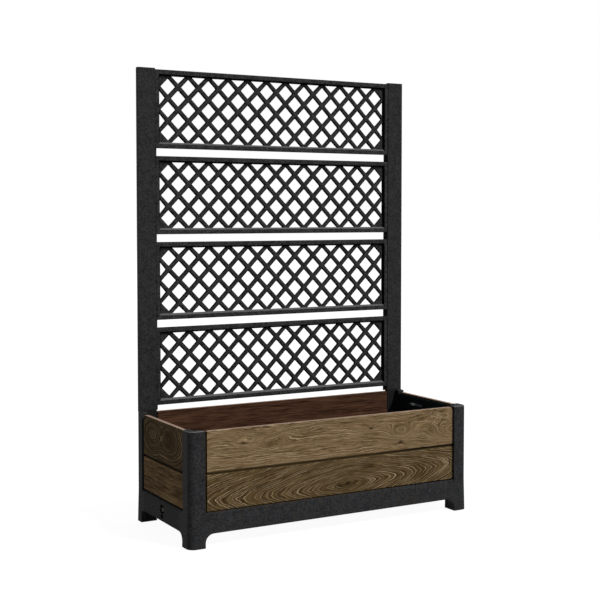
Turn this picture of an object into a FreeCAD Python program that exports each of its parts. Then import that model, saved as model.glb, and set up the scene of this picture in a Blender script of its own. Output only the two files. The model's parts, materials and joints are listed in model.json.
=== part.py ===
import FreeCAD, Part
import math
import os

# Trellis planter: a board-sided planting box on four corner posts, with a lattice screen along its back.
# Millimetres, +Z up, front towards -Y. The origin is on the floor, under the middle of the box.

# The box
box_width = 1100.0
box_depth = 440.0
board_top = 378.0

# Boards: two along each wall, the lower one let into the skirt
board_height = 138.0
board_thickness = 16.0
board_recess = 4.0
board_joint = 6.0
board_end_gap = 8.0
rear_end_gap = 2.0
rear_board_rise = 4.5
board_socket = 15.0
board_seam = 4.0
board_chamfer = 2.0
board_corner_radius = 7.0
tongue_width = 6.0
tongue_height = 10.0
tongue_reach = 10.0
tongue_drop = 10.0
tongue_clearance = 0.3

# Corner posts
post_face = 55.0
rear_side_face = 36.0
wall_depth = 26.0
front_corner_radius = 22.0
rear_corner_radius = 4.0
front_post_rise = 3.0
rear_post_rise = 7.0
post_top_chamfer = 2.5

# Skirt and feet
skirt_bottom = 45.0
skirt_bevel = 8.0
skirt_lip = 1.0
knee_radius = 29.0
rear_knee_radius = 18.0
foot_flare = 3.0

# Floor panel and the ledge that carries it
ledge_height = 8.0
ledge_width = 14.0
floor_plate = 8.0
floor_clearance = 1.0
floor_drop = 2.0
floor_rib_height = 18.0
floor_rib_width = 5.0
floor_rib_count = 7

# Inner panels of the short walls
end_panel_drop = 6.0

# Trellis posts, tenoned into the rear corner posts
trellis_post_width = 65.0
trellis_post_depth = 18.0
trellis_post_chamfer = 1.0
trellis_post_rise = 4.0
trellis_lip_width = 9.5
channel_side = 8.0
channel_back = 4.0
rear_lip_length = 18.0
rear_lip_drop = 6.0

# Lattice panels
panel_count = 4
panel_height = 273.5
panel_gap = 27.0
panel_depth = 14.0
panel_setback = 1.5
panel_lift = 25.0
panel_end_gap = 0.5
panel_rail = 17.0
panel_stile = 15.0
panel_edge_chamfer = 1.5
lattice_depth = 6.0
cells_across = 12
cells_up = 3
strip_width = 14.5
tab_length = 8.0
tab_height = 26.0
tab_depth = 6.0
tab_clearance = 0.3

# Drain in the left skirt, a little behind its middle. The floor and the lower boards clear the plug.
plug_height = 84.0
drain_offset = 5.0
pocket_width = 34.0
pocket_height = 27.0
pocket_depth = 10.0
pocket_margin = 1.5
pocket_fillet = 3.0
knob_radius = 7.5
knob_length = 6.5
knob_chamfer = 1.0
grip_width = 5.0
grip_height = 1.5
seal_radius = 6.5
seal_length = 1.5
stem_radius = 4.0
stem_clearance = 0.06
stem_overrun = 4.0
spout_margin = 2.0
spout_radius = 4.8
spout_bore_radius = 3.0
spout_well_radius = 8.0
spout_well_depth = 7.0
spout_overrun = 3.0

# Catches that hold the end panels to their upper boards
catch_length = 80.0
catch_height = 10.0
catch_depth = 7.0
catch_offset = 60.0
catch_drop = 33.0
catch_chamfer = 3.0

# Screws through the rear corner posts into the trellis posts
screw_head_radius = 5.0
screw_head_length = 2.5
screw_shank_radius = 2.0
screw_shank_length = 12.0
screw_clearance = 0.1
screw_drop = 90.0

# Places that follow from the sizes above
left = -box_width / 2
front = -box_depth / 2
back = box_depth / 2
groove_bottom = plug_height + pocket_height / 2 + pocket_margin
skirt_top = groove_bottom + board_socket
floor_top = plug_height - stem_radius - floor_drop
ledge_top = floor_top - floor_plate
spout_height = plug_height - pocket_height / 2 - spout_margin - spout_well_radius
board_face = board_recess + board_thickness
knee_reach = post_face + knee_radius
rear_knee_reach = rear_side_face + rear_knee_radius
front_post_top = board_top + front_post_rise
rear_post_top = board_top + rear_post_rise
tongue_top = board_top - tongue_drop
board_middle = board_recess + board_thickness / 2
panel_pitch = panel_height + panel_gap
trellis_top = board_top + panel_lift + panel_count * panel_pitch - panel_gap + trellis_post_rise
joint_bottom = board_top - board_height - board_joint
board_levels = {"upper": (board_top - board_height, board_top), "lower": (groove_bottom, joint_bottom)}
turns = {"front": 0, "left": -90, "rear": 180, "right": 90}
wall_length = {"front": box_width, "rear": box_width, "left": box_depth, "right": box_depth}
face_distance = {"front": back, "rear": back, "left": -left, "right": -left}
board_ends = {
    "front": (post_face, post_face), "rear": (trellis_post_width, trellis_post_width),
    "left": (rear_side_face, post_face), "right": (post_face, rear_side_face)}
end_gaps = {"front": board_end_gap, "rear": rear_end_gap, "left": board_end_gap, "right": board_end_gap}
skirt_ends = {
    "front": (knee_reach, knee_reach), "rear": (knee_reach, knee_reach),
    "left": (rear_knee_reach, knee_reach), "right": (knee_reach, rear_knee_reach)}


def vec(x, y, z):
    return FreeCAD.Vector(x, y, z)


def block(x0, x1, y0, y1, z0, z1):
    return Part.makeBox(x1 - x0, y1 - y0, z1 - z0, vec(x0, y0, z0))


def prism(points, along):
    """A solid with a polygon section, pushed along a vector."""
    outline = Part.makePolygon(points + points[:1])
    return Part.Face(outline).extrude(along)


def on_side(shape, side):
    """Turns a piece made for the front wall round to the named wall."""
    turned = shape.copy()
    turned.rotate(vec(0, 0, 0), vec(0, 0, 1), turns[side])
    return turned


def mirrored(shape):
    return shape.mirror(vec(0, 0, 0), vec(1, 0, 0))


def export(shape, node):
    shape.exportStep("parts/" + node + ".step")


def span(side, ends):
    """Where a stretch of wall starts, and its length, between what its two ends take up."""
    start = ends[0] - wall_length[side] / 2
    return start, wall_length[side] - ends[0] - ends[1]


def flare_at(z):
    """How far the base stands out past the box at a height."""
    return foot_flare * (1 - z / skirt_top)


def skirt_section(distance, x, bottom):
    """The skirt's section on a wall: flared face, bevelled lip, board groove and inner ledge."""
    bevel_foot = skirt_top - skirt_bevel
    outline = [
        (-flare_at(bottom), bottom), (wall_depth, bottom), (wall_depth, ledge_top - ledge_height),
        (wall_depth + ledge_width, ledge_top - ledge_height), (wall_depth + ledge_width, ledge_top),
        (wall_depth, ledge_top), (wall_depth, skirt_top), (board_face, skirt_top),
        (board_face, groove_bottom), (board_recess, groove_bottom), (board_recess, skirt_top),
        (board_recess - skirt_lip, skirt_top), (-flare_at(bevel_foot), bevel_foot)]
    return [vec(x, depth - distance, z) for depth, z in outline]


def skirt(side):
    """One straight skirt, between the knees of two corner posts."""
    start, length = span(side, skirt_ends[side])
    run = prism(skirt_section(face_distance[side], start, skirt_bottom), vec(length, 0, 0))
    return on_side(run, side)


def round_x(radius, x0, x1, y, z):
    """A round bar along X."""
    return Part.makeCylinder(radius, x1 - x0, vec(x0, y, z), vec(1, 0, 0))


def drained_skirt():
    """The left skirt, with the plug's pocket and bore, and below them the spout's well and hole."""
    outside = left - 2 * foot_flare
    inside = left + wall_depth + ledge_width
    pocket = block(outside, left + pocket_depth,
                   drain_offset - pocket_width / 2, drain_offset + pocket_width / 2,
                   plug_height - pocket_height / 2, plug_height + pocket_height / 2)
    corners = [edge for edge in pocket.Edges if abs(edge.tangentAt(edge.FirstParameter).x) > 0.9]
    pocket = pocket.makeFillet(pocket_fillet, corners)
    bore = round_x(stem_radius + stem_clearance, outside, inside, drain_offset, plug_height)
    well = round_x(spout_well_radius, outside, left + spout_well_depth, drain_offset, spout_height)
    hole = round_x(spout_radius, outside, inside, drain_offset, spout_height)
    return skirt("left").cut(pocket).cut(bore).cut(well).cut(hole)


def drain_spout():
    """The short tube in the skirt that lets the water out."""
    inner = left + wall_depth + spout_overrun
    tube = round_x(spout_radius, left + spout_well_depth / 2, inner, drain_offset, spout_height)
    return tube.cut(round_x(spout_bore_radius, left, inner, drain_offset, spout_height))


def corner_outline(z, side_face, spread, radius):
    """The plan of a front-left foot or post, with its outer corner rounded."""
    low = -spread
    bend = radius * (1 - math.sqrt(0.5))
    place = [vec(left + u, front + v, z) for u, v in (
        (low + radius, low), (post_face, low), (post_face, side_face), (low, side_face), (low, low + radius),
        (low + bend, low + bend))]
    edges = [Part.LineSegment(place[i], place[i + 1]).toShape() for i in range(4)]
    edges.append(Part.Arc(place[4], place[5], place[0]).toShape())
    return Part.Wire(edges)


def over_floor(side_face, low, high):
    """The room inside a front-left corner, past the thickness of the walls."""
    return block(left + wall_depth, left + post_face, front + wall_depth, front + side_face, low, high)


def knee(side, face, radius):
    """The stretch of skirt next to a post, rounded from the foot up to the skirt's lower edge."""
    start = face - wall_length[side] / 2
    low = skirt_bottom - radius
    run = prism(skirt_section(face_distance[side], start, low), vec(radius, 0, 0))
    place = vec(start + radius, -face_distance[side] - post_face, low)
    return run.cut(Part.makeCylinder(radius, 2 * post_face, place, vec(0, 1, 0)))


def foot(radius, side_face, side_knee):
    """The closed foot of a front-left post, with a knee along each wall."""
    bottom = corner_outline(0, side_face, foot_flare, radius + foot_flare)
    top = corner_outline(skirt_top, side_face, 0, radius)
    base = Part.makeLoft([bottom, top], True, True)
    base = base.cut(over_floor(side_face, ledge_top, skirt_top))
    side_run = on_side(mirrored(knee("left", side_face, side_knee)), "left")
    return base.fuse([knee("front", post_face, knee_radius), side_run])


def rim_edges(shape, top):
    return [edge for edge in shape.Edges if all(abs(v.Z - top) < 1e-6 for v in edge.Vertexes)]


def tongue_slot(wall_edge, middle):
    """The slot in a post's edge for the board tongues, made for a post to the left of its boards."""
    half = tongue_width / 2 + tongue_clearance
    deep = wall_edge - tongue_reach - tongue_clearance
    return block(deep, wall_edge, middle - half, middle + half, skirt_top, tongue_top + tongue_clearance)


def side_slot(side_face):
    """The slot for the side boards in a front-left post."""
    slot = tongue_slot(front + side_face, -left - board_middle)
    slot.rotate(vec(0, 0, 0), vec(0, 0, 1), 90)
    return slot


def front_post():
    """The front-left corner post: an angle section over a foot."""
    plan = Part.Face(corner_outline(skirt_top, post_face, 0, front_corner_radius))
    shaft = plan.extrude(vec(0, 0, front_post_top - skirt_top))
    shaft = shaft.cut(over_floor(post_face, skirt_top, front_post_top))
    shaft = shaft.makeChamfer(post_top_chamfer, rim_edges(shaft, front_post_top))
    post = foot(front_corner_radius, post_face, knee_radius).fuse(shaft).removeSplitter()
    return post.cut(tongue_slot(left + post_face, front + board_middle)).cut(side_slot(post_face))


def rear_post():
    """The rear-left corner post, with the channel that takes the trellis post's tenon."""
    side = left + channel_side
    skin = back - channel_back
    seat = back - trellis_post_depth
    inner = left + trellis_post_width
    shaft = block(left, left + wall_depth, back - rear_side_face, seat, skirt_top, rear_post_top)
    shaft = shaft.makeChamfer(post_top_chamfer, rim_edges(shaft, rear_post_top))
    corner = block(left, side, seat, back, skirt_top, rear_post_top)
    outer = [edge for edge in corner.Edges
             if all(abs(v.X - left) + abs(v.Y - back) < 1e-6 for v in edge.Vertexes)]
    corner = corner.makeFillet(rear_corner_radius, outer)
    cover = block(side, inner, skin, back, skirt_top, rear_post_top)
    lip = block(inner, inner + rear_lip_length, skin, back,
                skirt_top - skirt_bevel, board_top - rear_lip_drop)
    base = mirrored(foot(rear_corner_radius, rear_side_face, rear_knee_radius))
    base.rotate(vec(0, 0, 0), vec(0, 0, 1), 180)
    post = base.fuse([shaft, corner, cover, lip]).removeSplitter()
    return post.cut(side_slot(rear_side_face).mirror(vec(0, 0, 0), vec(0, 1, 0)))


def round_tip(x, inward, face, high):
    """What the rounded top corner takes off one end of an upper board."""
    reach = board_corner_radius
    centre = x + inward * reach
    waste = block(min(x, centre), max(x, centre), face, face + board_thickness, high - reach, high)
    place = vec(centre, face, high - reach)
    return waste.cut(Part.makeCylinder(reach, board_thickness, place, vec(0, 1, 0)))


def board(side, row):
    """One wall board, with tongues at its ends and a tongue and groove between the two rows."""
    low, high = board_levels[row]
    if side == "rear" and row == "upper":
        high = high + rear_board_rise
    start, length = span(side, [end + end_gaps[side] for end in board_ends[side]])
    stop = start + length
    face = board_recess - face_distance[side]
    rear = face + board_thickness
    outline = [vec(start, y, z) for y, z in (
        (face, low + board_chamfer), (face + board_chamfer, low), (rear, low), (rear, high),
        (face + board_chamfer, high), (face, high - board_chamfer))]
    plank = prism(outline, vec(length, 0, 0))
    middle = (face + rear) / 2
    half = tongue_width / 2
    if row == "upper":
        groove = half + tongue_clearance
        rise = tongue_height - board_joint + tongue_clearance
        plank = plank.cut(block(start, stop, middle - groove, middle + groove, low, low + rise))
        plank = plank.cut([round_tip(start, 1, face, high), round_tip(stop, -1, face, high)])
        tongue_z = (low, tongue_top)
    else:
        seam = block(start, stop, face, middle - half, skirt_top, skirt_top + board_seam)
        ridge = block(start, stop, middle - half, middle + half, high, high + tongue_height)
        plank = plank.cut(seam).fuse(ridge)
        tongue_z = (skirt_top + tongue_clearance, high)
    reach = end_gaps[side] + tongue_reach
    tongues = [block(x0, x1, middle - half, middle + half, *tongue_z)
               for x0, x1 in ((start - reach, start), (stop, stop + reach))]
    return on_side(plank.fuse(tongues), side)


def end_panel():
    """The plain inner panel of the left wall, between its two posts."""
    return block(left + board_face, left + wall_depth, front + post_face, back - rear_side_face,
                 skirt_top, board_top - end_panel_drop)


def end_catch():
    """The catch on the left end panel's inner face."""
    inner = left + wall_depth
    height = board_top - catch_drop
    bar = block(inner, inner + catch_depth, catch_offset - catch_length / 2, catch_offset + catch_length / 2,
                height - catch_height / 2, height + catch_height / 2)
    tips = [edge for edge in bar.Edges if abs(edge.tangentAt(edge.FirstParameter).x) > 0.9]
    return bar.makeChamfer(catch_chamfer, tips)


def floor_panel():
    """The floor, resting on the ledge, with cross ribs and two long ribs underneath."""
    gap = wall_depth + floor_clearance
    edge_x = left + gap
    edge_y = front + gap
    plate = block(edge_x, -edge_x, edge_y, -edge_y, ledge_top, floor_top)
    rib_x = left + wall_depth + ledge_width + floor_clearance
    rib_y = front + post_face + floor_clearance
    rib_low = ledge_top - floor_rib_height
    ribs = []
    first, length = span("front", skirt_ends["front"])
    for i in range(floor_rib_count):
        x = first + length * i / (floor_rib_count - 1) - floor_rib_width / 2
        ribs.append(block(x, x + floor_rib_width, rib_y, -rib_y, rib_low, ledge_top))
    for y in (rib_y, -rib_y - floor_rib_width):
        ribs.append(block(rib_x, -rib_x, y, y + floor_rib_width, rib_low, ledge_top))
    return plate.fuse(ribs).removeSplitter()


def panel_bottoms():
    """Heights of the lattice panels' lower edges, top panel first."""
    lowest = board_top + panel_lift
    return [lowest + i * panel_pitch for i in reversed(range(panel_count))]


def tab_levels(bottom):
    return (bottom + panel_height / 4, bottom + panel_height * 3 / 4)


def panel_tab(x0, x1, height, clearance):
    """A panel's end tab, or with a clearance the socket that it enters."""
    middle = back - trellis_post_depth + panel_setback + panel_depth / 2
    half = tab_depth / 2 + clearance
    rise = tab_height / 2 + clearance
    return block(x0 - clearance, x1 + clearance, middle - half, middle + half, height - rise, height + rise)


def trellis_post():
    """The left trellis post, its tenon, the lip behind the panels, and the sockets for their tabs."""
    inner = left + trellis_post_width
    seat = back - trellis_post_depth
    upper = block(left, inner, seat, back, rear_post_top, trellis_top)
    upright = [edge for edge in upper.Edges if abs(edge.tangentAt(edge.FirstParameter).z) > 0.9
               and abs(edge.Vertexes[0].X - inner) + abs(edge.Vertexes[0].Y - back) > 1e-6]
    upper = upper.makeChamfer(trellis_post_chamfer, upright + rim_edges(upper, trellis_top))
    lip = block(inner, inner + trellis_lip_width, seat + panel_setback + panel_depth, back,
                rear_post_top, trellis_top - trellis_post_rise)
    tenon = block(left + channel_side, inner - trellis_post_chamfer, seat, back - channel_back,
                  skirt_top, rear_post_top)
    cuts = [tongue_slot(inner, back - board_middle)]
    for bottom in panel_bottoms():
        for height in tab_levels(bottom):
            cuts.append(panel_tab(inner - tab_length, inner, height, tab_clearance))
    return upper.fuse([tenon, lip]).cut(Part.makeCompound(cuts))


def lattice_holes():
    """Centres of a panel's diamond holes, counted in cells. The four corners stay filled."""
    holes = [(i + 0.5, j + 0.5) for i in range(cells_across) for j in range(cells_up)]
    for i in range(cells_across + 1):
        for j in range(cells_up + 1):
            in_corner = i in (0, cells_across) and j in (0, cells_up)
            if not in_corner:
                holes.append((i, j))
    return holes


def lattice_panel(bottom):
    """One screen panel: a frame, a lattice set back from its face, and tabs at both ends."""
    x0 = left + trellis_post_width + panel_end_gap
    y0 = back - trellis_post_depth + panel_setback
    y1 = y0 + panel_depth
    top = bottom + panel_height
    frame = block(x0, -x0, y0, y1, bottom, top)
    rim = [edge for edge in frame.Edges if all(abs(v.Y - y0) < 1e-6 for v in edge.Vertexes)]
    frame = frame.makeChamfer(panel_edge_chamfer, rim)
    open_x = x0 + panel_stile
    open_z = bottom + panel_rail
    width = -2 * open_x
    height = panel_height - 2 * panel_rail
    frame = frame.cut(block(open_x, -open_x, y0, y1, open_z, top - panel_rail))
    half_x = width / cells_across / 2
    half_z = height / cells_up / 2
    share = 1 - strip_width / 2 * math.hypot(1 / half_x, 1 / half_z)
    diamond = [(half_x * share, 0), (0, half_z * share), (-half_x * share, 0), (0, -half_z * share)]
    sheet = block(open_x, -open_x, y1 - lattice_depth, y1, open_z, top - panel_rail)
    holes = []
    for i, j in lattice_holes():
        x = open_x + 2 * half_x * i
        z = open_z + 2 * half_z * j
        corners = [vec(x + a, y1 - lattice_depth, z + c) for a, c in diamond]
        holes.append(prism(corners, vec(0, lattice_depth, 0)))
    sheet = sheet.cut(Part.makeCompound(holes))
    tabs = []
    for level in tab_levels(bottom):
        tabs.append(panel_tab(x0 - tab_length + panel_end_gap, x0, level, 0))
        tabs.append(panel_tab(-x0, -x0 + tab_length - panel_end_gap, level, 0))
    return frame.fuse([sheet] + tabs)


def drain_plug():
    """The push-in plug: a knob with a grip bar, and a stem through the skirt."""
    seat = left + pocket_depth - seal_length
    face = seat - knob_length
    knob = round_x(knob_radius, face, seat, drain_offset, plug_height)
    rim = [edge for edge in knob.Edges if all(abs(v.X - face) < 1e-6 for v in edge.Vertexes)
           and isinstance(edge.Curve, Part.Circle)]
    knob = knob.makeChamfer(knob_chamfer, rim)
    grip_reach = knob_radius - knob_chamfer
    grip = block(face - grip_height, face, drain_offset - grip_width / 2, drain_offset + grip_width / 2,
                 plug_height - grip_reach, plug_height + grip_reach)
    stem = round_x(stem_radius, seat, left + wall_depth + stem_overrun, drain_offset, plug_height)
    return knob.fuse([grip, stem])


def plug_seal():
    """The washer between the knob and the bottom of its pocket."""
    seat = left + pocket_depth
    washer = round_x(seal_radius, seat - seal_length, seat, drain_offset, plug_height)
    return washer.cut(round_x(stem_radius, seat - seal_length, seat, drain_offset, plug_height))


def screw_places():
    middle = left + (channel_side + trellis_post_width) / 2
    height = rear_post_top - screw_drop
    return [(middle, height), (-middle, height)]


def screw(x, z):
    """A hexagon-head screw from behind, through the rear post's skin into the trellis post."""
    hexagon = []
    for i in range(6):
        turn = i * math.pi / 3
        corner = vec(math.cos(turn), 0, math.sin(turn)) * screw_head_radius
        hexagon.append(vec(x, back, z) + corner)
    head = prism(hexagon, vec(0, screw_head_length, 0))
    shank = Part.makeCylinder(screw_shank_radius, screw_shank_length, vec(x, back, z), vec(0, -1, 0))
    return head.fuse(shank)


def screw_hole(x, z):
    return Part.makeCylinder(screw_shank_radius + screw_clearance, screw_shank_length + screw_clearance,
                             vec(x, back, z), vec(0, -1, 0))


def build():
    os.makedirs("parts", exist_ok=True)
    screw_holes = Part.makeCompound([screw_hole(*place) for place in screw_places()])
    post = front_post()
    export(post, "corner_post_front_left")
    export(mirrored(post), "corner_post_front_right")
    post = rear_post().cut(screw_holes)
    export(post, "corner_post_rear_left")
    export(mirrored(post), "corner_post_rear_right")
    export(drained_skirt(), "skirt_left")
    for side in ("front", "rear", "right"):
        export(skirt(side), "skirt_" + side)
    for side in turns:
        for row in board_levels:
            export(board(side, row), "board_" + side + "_" + row)
    export(end_panel(), "end_panel_left")
    export(mirrored(end_panel()), "end_panel_right")
    export(Part.makeCompound([end_catch(), mirrored(end_catch())]), "end_panel_catches")
    export(floor_panel(), "floor_panel")
    upright = trellis_post().cut(screw_holes)
    export(upright, "trellis_post_left")
    export(mirrored(upright), "trellis_post_right")
    for number, bottom in enumerate(panel_bottoms(), 1):
        export(lattice_panel(bottom), "lattice_panel_" + str(number))
    export(drain_plug(), "drain_plug")
    export(plug_seal(), "plug_seal")
    export(drain_spout(), "drain_spout")
    export(Part.makeCompound([screw(*place) for place in screw_places()]), "trellis_screws")


build()
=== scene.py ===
"""Dresses the trellis planter: softened mouldings, limed wood grain, hammered plastic, lattice screens.

Metres, in the part's own frame: +Z up, front towards -Y, origin on the floor under the middle of the box.
"""
import json
import math

import bmesh
import bpy
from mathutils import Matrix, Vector
from mathutils.kdtree import KDTree


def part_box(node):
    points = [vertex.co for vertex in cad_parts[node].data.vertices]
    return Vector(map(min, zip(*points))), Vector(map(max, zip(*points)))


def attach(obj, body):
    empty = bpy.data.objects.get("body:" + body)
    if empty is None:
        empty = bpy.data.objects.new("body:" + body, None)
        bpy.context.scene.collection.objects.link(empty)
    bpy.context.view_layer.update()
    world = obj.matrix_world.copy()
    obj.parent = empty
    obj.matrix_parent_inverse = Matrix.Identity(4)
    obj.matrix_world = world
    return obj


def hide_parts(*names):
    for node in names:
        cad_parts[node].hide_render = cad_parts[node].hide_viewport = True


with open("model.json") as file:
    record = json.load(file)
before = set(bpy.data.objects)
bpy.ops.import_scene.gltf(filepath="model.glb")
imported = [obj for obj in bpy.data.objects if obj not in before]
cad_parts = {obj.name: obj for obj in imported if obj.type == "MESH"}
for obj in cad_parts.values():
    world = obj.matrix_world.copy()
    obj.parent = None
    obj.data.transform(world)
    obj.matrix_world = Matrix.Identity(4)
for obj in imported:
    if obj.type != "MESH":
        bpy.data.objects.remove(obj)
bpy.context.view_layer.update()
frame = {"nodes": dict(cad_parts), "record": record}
nodes = frame["nodes"]
MM = 0.001

# Camera of the photograph: lens and sensor in millimetres, angles in degrees
CAMERA_PLACE = (-2.0813, -3.6475, 1.0739)
CAMERA_YAW = 29.45
CAMERA_PITCH = 2.64
CAMERA_LENS = 71.05
CAMERA_SENSOR = 36
CAMERA_SHIFT_Y = -0.05175

# Light: dim all round, stronger towards the back and right from a start on, and a key light
ROOM_LIGHT = 0.2
BACK_LIGHT = 1.6
BACK_LIGHT_FROM = (0.707, 0.707, 0.0)
BACK_LIGHT_START = 0.2
KEY_LIGHT = 3.7
KEY_LIGHT_WAY = (-0.36, 0.59, -0.72)
KEY_LIGHT_ANGLE = 12
WHITE = (1, 1, 1, 1)

# Floor: grey to the object, and a glow with a faint grey for the shadow to the camera
FLOOR_SIZE = 60
FLOOR_DROP = 0.5 * MM
FLOOR_GREY = 0.5
FLOOR_GLOW = 0.95
FLOOR_FAINT = 0.10

# Lattice panels, as the solids have them, with the tabs' levels in shares of a panel's height
PANEL_RAIL = 17 * MM
PANEL_STILE = 15 * MM
TAB_LENGTH = 7.5 * MM
TAB_HEIGHT = 26 * MM
TAB_DEPTH = 6 * MM
TAB_LEVELS = (0.25, 0.75)
LATTICE_DEPTH = 6 * MM
PANEL_COUNT = 4
CELLS_ACROSS = 12
CELLS_UP = 3

# How the real screens differ from the plain solids: broader strips, set back almost to the posts' backs,
# softened arrises, and a slope from the frame's face in to the lattice
STRIP_WIDTH = 17.2 * MM
LATTICE_SETBACK = 2.2 * MM
GRID_SPREAD = 1.3 * MM
SLOPE_HEAD = 1.5 * MM
SLOPE_FOOT = 4.3 * MM
HOLE_CORNER = 2.2 * MM
STRIP_SOFT_FRONT = 5.0 * MM
STRIP_SOFT_BACK = 1.0 * MM
RAIL_SOFT_OUT = 2.0 * MM
RAIL_SOFT_IN = 1.0 * MM

# A strip's front arris, in shares of STRIP_SOFT_FRONT: out from the hole, and back from the face
STRIP_ARRIS = ((1.0, 0.0), (0.2, 0.45), (0.0, 0.75))

# The middle of a quarter round in shares of its radius, the steps round a hole's corner,
# and how far strips run into the frame
BEND = 1 - math.sqrt(0.5)
CORNER_STEPS = 4
SINK = 1 * MM

# How far the edges of each kind of piece are softened
MOULDING_SOFT = 0.9 * MM
UPRIGHT_SOFT = 0.5 * MM
BOARD_SOFT = 0.8 * MM
CATCH_SOFT = 1.8 * MM
SCREW_SOFT = 0.25 * MM
DRAIN_SOFT = 0.3 * MM
SEAL_SOFT = 0.2 * MM

# Degrees: faces flatter than the first are joined, edges sharper than the second are softened,
# and edges sharper than the last two stay sharp in the shading
FLAT_ANGLE = 0.4
SOFT_ANGLE = 28
SHARP_ANGLE = 35
SCREEN_SHARP_ANGLE = 30

# Points nearer than these are one
NODE_WELD = 2e-6
SHEET_WELD = 5e-6
SAME_PLACE = 1e-6

# Nodes that look alike
LATTICES = ["lattice_panel_%d" % (i + 1) for i in range(PANEL_COUNT)]
CHARCOAL = ["corner_post_front_left", "corner_post_front_right", "corner_post_rear_left",
            "corner_post_rear_right", "skirt_front", "skirt_rear", "skirt_right"]
TRELLIS = ["trellis_post_left", "trellis_post_right"]
INNER = ["end_panel_left", "end_panel_right", "floor_panel"]

# For each wall: the axis its boards run along, and the axis and sign of the way into the box
WALLS = {"front": ("X", "Y", 1.0), "rear": ("X", "Y", -1.0),
         "left": ("Y", "X", 1.0), "right": ("Y", "X", -1.0)}

# The planting box's hollow
HOLLOW_LOW, HOLLOW_HIGH = frame["record"]["physics"]["openings"][0]["box_m"]

# In all materials a NOISE is its scale per metre, detail and roughness, and an EDGE or FACING is where
# a ramp starts and ends. BLEND is how wide a painted border is, and ROUGHNESS_SWING how uneven the gloss is
BLEND = 1 * MM
SPOT_EDGE = (0.3, 0.6)
ROUGHNESS_SWING = 0.2

# Hammered plastic. COOL_GREEN is the share of the tint that its cool tone loses in green
DIMPLE_NOISE = (180.0, 2.0, 0.6)
CLOUD_NOISE = (42.0, 3.0, 0.65)
HUE_NOISE = (60.0, 2.0, 0.5)
SKIN_NOISE = (1500.0, 1.0, 0.5)
DIMPLE_SHARE = 0.7
SKIN_SHARE = 0.12
HAMMER_EDGE = (0.34, 0.66)
HUE_EDGE = (0.4, 0.6)
COOL_GREEN = 0.3
HAMMER_BUMP = 0.6
HAMMER_ROUGHNESS = 0.55
PLASTIC = dict(dark=(0.0105, 0.0105, 0.0108), light=(0.0295, 0.0295, 0.0302), tint=0.07,
               relief=1.2 * MM, sheen=0.04)
DRAINED = dict(PLASTIC, sheen=0.025)
UPRIGHT = dict(dark=(0.011, 0.011, 0.011), light=(0.0285, 0.0285, 0.0285), tint=0.02,
               relief=0.9 * MM, sheen=0.04)
SCREEN = dict(dark=(0.010, 0.010, 0.010), light=(0.038, 0.038, 0.038), tint=0.02,
              relief=0.6 * MM, sheen=0.02)

# Painted shade on posts where they line the box, this far beyond its hollow, and painted highlights on the
# rims near the front posts' tops
LINING = 12 * MM
RIM_HIGHLIGHT = (0.10, 0.095, 0.095)
RIM_DEPTH = (9 * MM, 7 * MM)
RIM_FRONT_EDGE = (50 * MM, 0.0)
RIM_LOW_FACING = (0.35, 0.55)
RIM_HIGH_FACING = (0.97, 0.9)

# The drain, with places and reaches along and up the left skirt, from the middle of its plug: painted shade
# in its pocket and well and in spots round them, and a painted highlight between the two
DRAIN_SHADE = 0.15
DRAIN_DEPTH = (4 * MM, 7 * MM)
DRAIN_HOLLOW = ((0.0, 18 * MM), (-9 * MM, 24 * MM))
DRAIN_SHADE_SPOTS = (((0.0, -21.5 * MM), (16 * MM, 9 * MM)), ((0.0, 16.5 * MM), (17 * MM, 3 * MM)))
DRAIN_HIGHLIGHT = ((-8 * MM, -12.5 * MM), (8 * MM, 2.6 * MM))

# Painted shade on the screens' sides, but not on faces that look up, and a painted highlight on the pale
# ledge along each bottom rail
SIDE_FACING = (0.97, 0.85)
SIDE_RISE_FACING = (0.75, 0.25)
SIDE_SHADE = 0.1
LEDGE_REACH = (5 * MM, 4 * MM)
LEDGE_FACING = (0.3, 0.6)
LEDGE_HIGHLIGHT = (0.088, 0.0875, 0.088)

# The end panel catches, with a painted highlight along their middle line, brightest along a part of their
# length, from their front ends
CATCH_NOISE = (700.0, 2.0, 0.6)
CATCH_SHINE = (37 * MM, 66 * MM)
CATCH_FADE = 12 * MM
CATCH_LINE = (5 * MM, 3.5 * MM)
CATCH_FACING = (0.1, 0.3)
CATCH_TONES = ((0.006, 0.009, 0.010), (0.10, 0.13, 0.16))
CATCH_HIGHLIGHT = (0.90, 0.96, 0.90)
CATCH_BUMP = 0.2
CATCH_RELIEF = 0.2 * MM
CATCH_ROUGHNESS = 0.25
CATCH_SPECULAR = 0.3

# Plain materials: colour, least roughness, specular and metallic
PLAIN_NOISE = (900.0, 2.0, 0.6)
PLAIN_TONE_NOISE = (60.0, 2.0, 0.5)
PLAIN_SHADES = (0.7, 1.3)
PLAIN_BUMP = 0.3
PLAIN_RELIEF = 0.3 * MM
INNER_BLACK = ((0.0055, 0.0095, 0.0100), 0.5, 0.05, 0.0)
BRIGHT_STEEL = ((0.62, 0.64, 0.62), 0.25, 0.5, 1.0)
KNOB_TAN = ((0.10, 0.085, 0.06), 0.4, 0.1, 0.0)
SEAL_BLACK = ((0.01, 0.01, 0.01), 0.65, 0.3, 0.0)
# The spout's grey is darkened as painted shade of the drain's well
SPOUT_SHADED_GREY = ((0.008, 0.008, 0.008), 0.45, 0.3, 0.0)

# Painted shade in the seams at the two ends of each wall's boards, from the tips of their tongues. They are
# as wide as in the solids, apart from the front's right one, which is narrower
END_GAPS = {"front": (18 * MM, 8.5 * MM), "rear": (12 * MM, 12 * MM), "left": (18 * MM, 18 * MM),
            "right": (18 * MM, 18 * MM)}

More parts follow.
